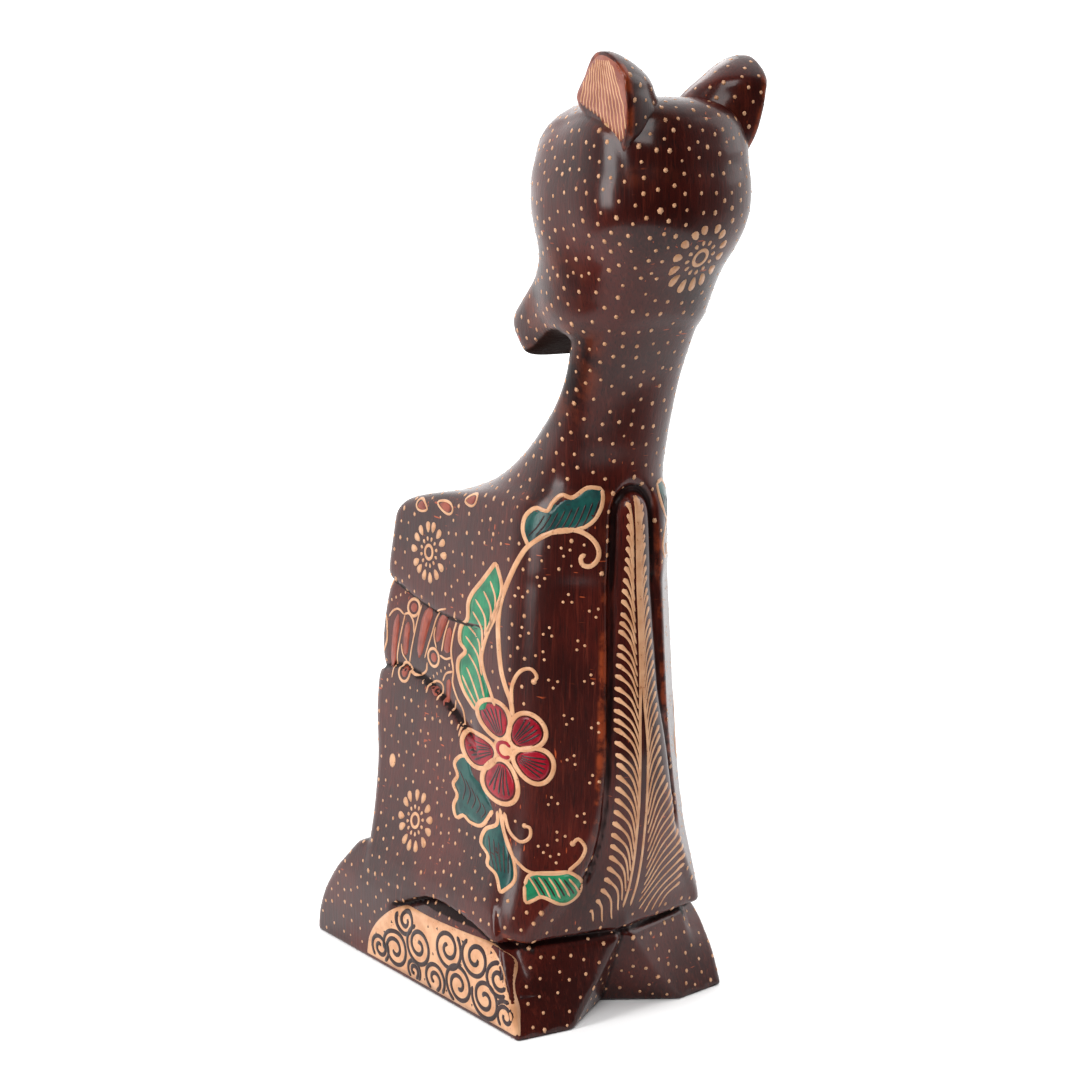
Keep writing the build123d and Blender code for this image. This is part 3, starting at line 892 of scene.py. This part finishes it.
# Band on the flank: its lines, three beads, two rows of specks and rust seeds (top, foot, their widths).
BAND_LINES = [(0.5, [(13.5, 80), (15, 75), (16.6, 69.8), (17.3, 65)]), (0.5, [(7.6, 83.2), (9, 77.5),
               (10.2, 73.5), (11.5, 69.5)]), (0.5, [(-3.5, 84.3), (0.6, 82.7), (2.4, 77.5),
               (4.9, 71.8)]), (0.5, [(-3.4, 81.8), (-2.5, 78), (-1.9, 74.6)]), (0.5, [(1.2, 79.4),
               (1.4, 77.3), (0.2, 74.8)]), (0.6, [(20, 78.5), (18.6, 80), (16.4, 80.8), (14, 80)]),
              (0.6, [(14, 80), (12, 80.5), (10, 79), (9.5, 76.5)]), (0.5, [(14.6, 73.2), (14.2, 71),
               (12.5, 69.5)]), (0.7, [(12, 69), (10, 67.9), (7.5, 67.5), (4.6, 68.9), (3.9, 71)]),
              (0.6, [(-1.2, 73.6), (-3.6, 73.2), (-6, 74)]), (0.75, [(-7, 84.3), (-6.2, 81.5),
               (-5.6, 75.5), (-6.8, 71.3), (-6.6, 68.5), (-8.4, 65.5), (-10.8, 63.3), (-11.2, 60.5),
               (-10.6, 57.6)]), (0.7, [(3, 64.4), (2.3, 66.5), (-0.4, 67.6), (-2.5, 67), (-1.9, 65),
               (-1.2, 63.6)]), (0.6, [(-2.5, 68), (-3.9, 70), (-6.6, 71)]), (0.6, [(-8, 65),
               (-6.2, 61)]), (0.6, [(-10.2, 60.6), (-9.8, 58.8)]), (0.7, [(22.3, 70), (20.6, 73.2),
               (20.9, 77.4), (21.8, 78.8)]), (0.9, [(19.5, 88.4), (20.6, 85.6), (22, 84.2)])]
BAND_SEEDS = [((16.3, 79.6), (18.9, 65.5), 2.6, 1.7), ((12, 78.6), (13.2, 70.8), 2.2, 2.4),
              ((4.2, 83.2), (7.3, 71.4), 4.0, 2.2), ((-1.6, 82.6), (0.2, 76.2), 3.4, 2.0),
              ((-4.2, 80.2), (-3.9, 74.6), 2.0, 2.8), ((0.6, 66.4), (-0.6, 64.4), 2.8, 1.6),
              ((-5.2, 69), (-4.0, 63), 2.2, 1.4)]
lines, rust = Paint("band_lines", 0.08), Paint("band_fills", 0.035)
draw(lines, FLANK_VIEW, BAND_LINES)
for centre, radius, squash in (((10.5, 82.1), 2.2, 0.85), ((12.5, 67.2), 2.2, 0.95), ((1.3, 72.6), 2.2, 0.9)):
    lines.stroke(FLANK_VIEW, through(disc(centre, radius, 12, squash), closed=True), 0.8, closed=True)
    rust.blob(FLANK_VIEW, disc((centre[0] - 0.1, centre[1]), radius * 0.72, 14, squash), rings=2)
for k in range(7):
    lines.blob(FLANK_VIEW, disc((4.8 - 1.65 * k, 66.4 + 0.95 * k), 0.42, 8, 1.5, -0.3))
for k in range(6):
    lines.blob(FLANK_VIEW, disc((21 - 1.6 * k, 81.6 + 0.8 * k), 0.4, 8, 1.4, -0.3))
for top, foot, wide_top, wide_foot in BAND_SEEDS:
    s = np.linspace(0, 1, 14)[:, None]
    axis = np.array(top) + (np.array(foot) - top) * s
    half = (wide_top * (1 - s) + wide_foot * s) / 2 * np.sqrt(np.clip(1 - (2 * s - 1) ** 6, 0.05, 1))
    rust.sheet(FLANK_VIEW, axis - half * (1, 0), axis + half * (1, 0), count=4)
BACK_DROPS = [((-0.8, 106.2), 3.3, 6.2), ((8.4, 105.2), 0.2, 4.6), ((-10.2, 108.8), 3.0, 4.4)]
for centre, heading, long in BACK_DROPS:
    shape = drop(centre, heading, long, 2.4, 20)
    rust.blob(FLANK_VIEW, shape, rings=2)
    lines.stroke(FLANK_VIEW, through(shape, closed=True), 0.65, closed=True)
lines.lay(TAN)
rust.lay(RUST)

# Spiral patch low on the hind leg: its upper rim, the spirals (middle and size) and the specks between them.
RIM = [(18.3, 1.6), (17.2, 5.5), (14, 9.6), (9.5, 13.2), (5.2, 15.8), (1, 16.6), (-10, 17.1),
       (-20, 17.5), (-28, 17.8), (-32, 17.4), (-35, 15), (-37, 11), (-39, 7), (-40.3, 3.6),
       (-41.2, 1.2)]
SPIRALS = [(6.3, 5.6, 4.7), (-3.5, 9.4, 4.8), (-15.2, 12.4, 5.0), (-25.6, 13.2, 5.0),
           (-34.2, 11.4, 4.2), (-10, 3.7, 4.0), (-19.6, 5.4, 4.8), (-29.5, 5.6, 4.8), (-37.2, 4.0, 3.8),
           (2.6, 13.2, 3.6), (12.6, 4.2, 3.6), (-1.6, 3.0, 2.6)]
SPECKS = [(1.2, 8.4), (-9.4, 9.4), (-20.4, 10.2), (-30.0, 10.6), (-14.8, 2.6), (-24.6, 2.6),
          (-33.6, 6.9), (-6.0, 2.4), (10.6, 8.4), (-20.4, 15.4), (-7.0, 14.8), (-10.6, 15.4),
          (-30.4, 15.9), (7.6, 11.6), (-38.8, 8.0), (16.2, 3.6), (14.2, 7.0)]
FAR_PATCH_BACK = 4.0
PATCH_FOOT = 1.1
ground, coils = Paint("leg_patch", 0.04), Paint("leg_spirals", 0.085)
rim = through(RIM)


def rim_height(y):
    """Height of the patch's upper rim along the leg."""
    return np.interp(y, rim[::-1, 0], rim[::-1, 1])


def spiral_runs(n, cx, cz, size):
    """Parts of one spiral that lie inside the patch: r = size (0.1 + 1.12 share^0.9), at most size."""
    t = np.linspace(0.3, TURN * 2.05, 52)
    spin = 1 if n % 2 else -1
    r = size * np.minimum(1, 0.10 + 1.12 * (t / t[-1]) ** 0.9)
    path = np.stack([cx + r * np.cos(spin * t + 0.9 * n), cz + 0.88 * r * np.sin(spin * t + 0.9 * n)], 1)
    y, z = path.T
    keep = (z > 1.3) & (z < rim_height(y) - 1.0) & (y < 17) & (y > -40)
    runs = np.split(np.arange(len(path)), np.where(np.diff(keep.astype(int)))[0] + 1)
    return [path[run] for run in runs if keep[run[0]] and len(run) > 5]


for copy, back in ((False, (0, 0)), ("far", (FAR_PATCH_BACK, 0))):
    base = np.stack([rim[:, 0], np.full(len(rim), PATCH_FOOT)], 1)
    ground.sheet(FLANK_VIEW, base + back, rim + back, count=14, both=copy)
    for n, spiral in enumerate(SPIRALS):
        for run in spiral_runs(n, *spiral):
            coils.stroke(FLANK_VIEW, through(run + back, 0.4), 1.4, both=copy)
    for cx, cz in SPECKS:
        coils.blob(FLANK_VIEW, disc((cx, cz), 1.25, 3, 1.0, cx) + back, both=copy)
ground.lay(TAN)
coils.lay(DARK)

# Striped faces of the ears: the upper and the lower edge, front to rear, and stripes that fan upwards.
FACE_TOP = [(-63, 193), (-62.6, 196), (-60.2, 198.8), (-55.6, 200.3), (-52, 198.8), (-49.3, 196.3),
            (-46.2, 193.2), (-45.3, 192)]
FACE_LOW = [(-63, 191), (-62.4, 188.5), (-61.9, 187), (-60.6, 184.6), (-59.6, 183.4), (-56.5, 184.6),
            (-54.8, 185.8), (-52.6, 188), (-49.1, 189.5), (-45.3, 191.4)]
STRIPES, STRIPE_STEP = 14, 1.13
rose, stripes = Paint("ear_faces", 0.04), Paint("ear_stripes", 0.09)
y = np.linspace(-62.6, -45.6, 46)
roof, sill = curve(y, FACE_TOP), curve(y, FACE_LOW) + 0.4 + 0.35 * np.sin(y * 5.2)
upper = np.stack([y, np.maximum(roof - 0.5, sill + 0.2)], 1)
rose.sheet(EAR_VIEW, np.stack([y, sill], 1), upper, count=8, step=0.4)
for k in range(STRIPES):
    foot = -46.6 - STRIPE_STEP * k
    z = np.linspace(float(curve(foot, FACE_LOW)) + 0.3, 200, 40)
    y = -55.9 + (foot + 55.9) * (0.45 + 0.55 * np.clip((200.5 - z) / 10, 0, 1)) + 0.10 * np.sin(z * 2.1 + k)
    keep = z < curve(y, FACE_TOP) - 0.7
    if keep.sum() > 5:
        stripes.stroke(EAR_VIEW, through(np.stack([y[keep], z[keep]], 1)[::3], 0.4), 0.44)
rose.lay(ROSE)
stripes.lay(TAN)

# Clusters of three small dots on the shoulder panel.
CLUSTERS = [(6, 95), (1.5, 92), (11.5, 91.5), (17, 89), (11, 101.5), (8.5, 74), (16, 75), (11.5, 66.5),
            (17.5, 65), (12.5, 58), (17, 54), (8.5, 49), (14.5, 46), (10, 42), (6.5, 39.5), (9, 37.5),
            (7.5, 84.5), (14, 82), (2.5, 84), (6, 79.5)]
sprinkle = Paint("panel_dots", 0.08)
for cx, cz in CLUSTERS:
    turn = random.uniform(0, 6.28)
    for k in range(3):
        t = turn + 2.1 * k + random.normal() * 0.15
        sprinkle.blob(CORNER_VIEW, disc((cx + 1.05 * math.cos(t), cz + 1.05 * math.sin(t)), 0.48, 8))
sprinkle.lay(TAN)


# ---------------------------------------------------------------- the sea of wax dots
CARVING = {"carved_skin", "left_ear_skin", "right_ear_skin", "carved_block", "left_ear", "right_ear",
           "left_ear_peg", "right_ear_peg"}
CANDIDATES = 42000
BODY_SPACING, HEAD_SPACING, EAR_SPACING = 2.7, 2.35, 2.5
HEAD_FROM = 158
PAINT_GAP = 1.25


def taken_map():
    """Every painted point, sorted for quick searching."""
    laid = [np.array([v.co for v in o.data.vertices]) / MM for o in bpy.context.scene.objects
            if o.type == "MESH" and o.get("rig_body") and len(o.data.materials) and o.name not in CARVING]
    everything = np.concatenate(laid)
    tree = kdtree.KDTree(len(everything))
    for k, p in enumerate(everything.tolist()):
        tree.insert(p, k)
    tree.balance()
    return tree


def open_ground(p, n):
    """True where the background may carry dots: off the panels, strip, band, leg patch, sole and raw cut."""
    x, y, z = np.abs(p[:, 0]), p[:, 1], p[:, 2]
    panel = (shoulder(x, y, z) > -1.2) & (z > 30) & (z < 97) & (y < -28)
    strip = (x < strip_half(p[:, 0], z) + 1.6) & (y < -34) & (z > 22) & (z < 113)
    band = (z < curve(y, UPPER_CREASE) + 0.6) & (z > curve(y, LOWER_CREASE) - 0.6)
    band = band & (y > -12) & (y < 21) & (x > 15)
    along = y - FAR_PATCH_BACK * (p[:, 0] > 0)
    patch = (z < rim_height(along) + 0.9) & (along > -41.6) & (along < 18.8) & (x > 20)
    cut_face = (n[:, 2] < -0.7) & (z > 130) & (z < 152) & (y > -40)
    buried = ear(*p.T) < 0.6
    ear_flat = (z > 186) & (face_plane(*p.T) > -0.8) & (y < -45)
    return ~(panel | strip | band | patch | cut_face | buried | ear_flat) & (z > 1.2)


def scatter(p, spacing):
    """Picks points in random order, keeping each at least the spacing from all picked before.

    A picked point also keeps off the painted lines. Boxes as wide as the spacing narrow the search.
    """
    tree = taken_map()
    around = [(i, j, m) for i in (-1, 0, 1) for j in (-1, 0, 1) for m in (-1, 0, 1)]
    boxes, chosen = {}, []
    for k in random.permutation(len(p)):
        a = p[k]
        key = tuple((a // spacing).astype(int))
        near = [q for i, j, m in around for q in boxes.get((key[0] + i, key[1] + j, key[2] + m), ())]
        close = any((a[0] - q[0]) ** 2 + (a[1] - q[1]) ** 2 + (a[2] - q[2]) ** 2 < spacing ** 2 for q in near)
        if not close and tree.find(a.tolist())[2] > PAINT_GAP:
            boxes.setdefault(key, []).append(a)
            chosen.append(k)
    return np.array(chosen)


def dots_on(p, n, spacing, name):
    """Small domes, six-sided, one per chosen place: about 0.5 mm in radius, crowned and sunk at the foot."""
    pick = scatter(p, spacing)
    p, n = p[pick], n[pick]
    r = 0.50 + 0.06 * random.normal(size=(len(p), 1))
    a = np.cross(n, (0.3, 0.2, 0.93))
    a = a / np.linalg.norm(a, axis=1)[:, None]
    b = np.cross(n, a)
    t = np.arange(6) / 6 * TURN
    ringed = [p + a * r * math.cos(v) + b * r * math.sin(v) * 1.1 - n * 0.03 for v in t]
    verts = np.stack(ringed + [p + n * 0.10, p - n * 0.3], 1).reshape(-1, 3)
    pattern = [(j, (j + 1) % 6, 6) for j in range(6)] + [((j + 1) % 6, j, 7) for j in range(6)]
    faces = (np.arange(len(p))[:, None, None] * 8 + np.array(pattern)).reshape(-1, 3)
    piece = solid(name, verts, faces.tolist(), TAN)
    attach(piece, "root")


pick = random.permutation(len(points))[:CANDIDATES]
where, facing = points[pick], normals[pick]
good = open_ground(where, facing)
crown = where[:, 2] > HEAD_FROM
dots_on(where[good & ~crown], facing[good & ~crown], BODY_SPACING, "batik_dots")
dots_on(where[good & crown], facing[good & crown], HEAD_SPACING, "head_dots")
ear_normals = normals_of(ear, ear_points)
for side, turn in (("left", 1), ("right", -1)):
    p, n = ear_points * (turn, 1, 1), ear_normals * (turn, 1, 1)
    good = (face_plane(*p.T) < -0.9) & (block(*p.T) > 0.6)
    dots_on(p[good], n[good], EAR_SPACING, side + "_ear_dots")

# Nostrils: rust-brown dabs near the end of the muzzle.
nostrils = Paint("nostrils", 0.06)
nostrils.blob(FLANK_VIEW, disc((-19.8, 143.6), 1.0, 10, 0.7, 0.8), rings=2)
nostrils.lay(RUST)


# ---------------------------------------------------------------- studio, in metres
def lamp(name, power, size, place, aim, tall=None):
    """Soft panel light at a place, facing a point; its turn follows from the way between them."""
    data = bpy.data.lights.new(name, "AREA")
    data.energy, data.shape, data.size, data.size_y = power, "RECTANGLE", size, tall or size
    made = bpy.data.objects.new(name, data)
    made.location = place
    x, y, z = np.array(aim, float) - place
    made.rotation_euler = (math.atan2(math.hypot(x, y), -z), 0, math.atan2(y, x) - math.pi / 2)
    bpy.context.scene.collection.objects.link(made)


AIM = (0, 0, 0.10)
lamp("left_panel", 4.5, 0.22, (-0.62, 0.02, 0.36), (0, 0, 0.12), tall=0.7)
lamp("front_top", 5.4, 0.5, (-0.42, -0.62, 0.80), AIM)
lamp("right_fill", 1.2, 0.5, (0.70, -0.30, 0.50), AIM)
lamp("back_top", 3.0, 0.5, (0.25, 0.65, 0.80), AIM)

# The surroundings are bright behind the statue, seen from the camera, and dim in front of it.
world = bpy.data.worlds.new("studio")
bpy.context.scene.world = world
sky = Graph(world)
way = sky.node("ShaderNodeTexCoord", out="Generated")
BEHIND = (0.57, 0.82, 0.0)
share = sky.node("ShaderNodeVectorMath", {"operation": "DOT_PRODUCT"}, {0: way, 1: BEHIND}, out="Value")
light = share.between(-0.35, 0.35) * 1.68 + 0.07
shade = sky.node("ShaderNodeBackground", None, {"Color": (1, 1, 1, 1), "Strength": light})
sky.node("ShaderNodeOutputWorld", None, {"Surface": shade})

paper = Graph.of_material("white_paper").finish(tint(250, 250, 250), 0.85, specular=0.1)
FLOOR_RADIUS, FLOOR_THICK, ROUND = 270, 4, 64
top = np.column_stack([disc((0, 0), FLOOR_RADIUS, ROUND), np.zeros(ROUND)])
flats = [tuple(range(ROUND)), tuple(reversed(range(ROUND, 2 * ROUND)))]
walls = [(a + ROUND, (a + 1) % ROUND + ROUND, (a + 1) % ROUND, a) for a in range(ROUND)]
floor_points = np.concatenate([top, top - (0, 0, FLOOR_THICK)])
floor = solid("floor", floor_points, flats + walls, paper, smooth=False)

# The camera stands 0.48 m out on the front left and looks down a little, with the statue just off its middle.
DISTANCE, HEIGHT = 0.48, 0.1832
AZIMUTH, DIP, ASIDE = math.radians(-34.8), math.radians(10.2), math.radians(-0.76)
camera = bpy.data.cameras.new("camera")
camera.lens, camera.sensor_width, camera.clip_start = 73.3, 36, 0.01
view = bpy.data.objects.new("camera", camera)
bpy.context.scene.collection.objects.link(view)
view.location = (math.sin(AZIMUTH) * DISTANCE, -math.cos(AZIMUTH) * DISTANCE, HEIGHT)
view.rotation_euler = (math.pi / 2 - DIP, 0, AZIMUTH + ASIDE)
bpy.context.scene.camera = view
bpy.context.scene.view_settings.view_transform = "Standard"
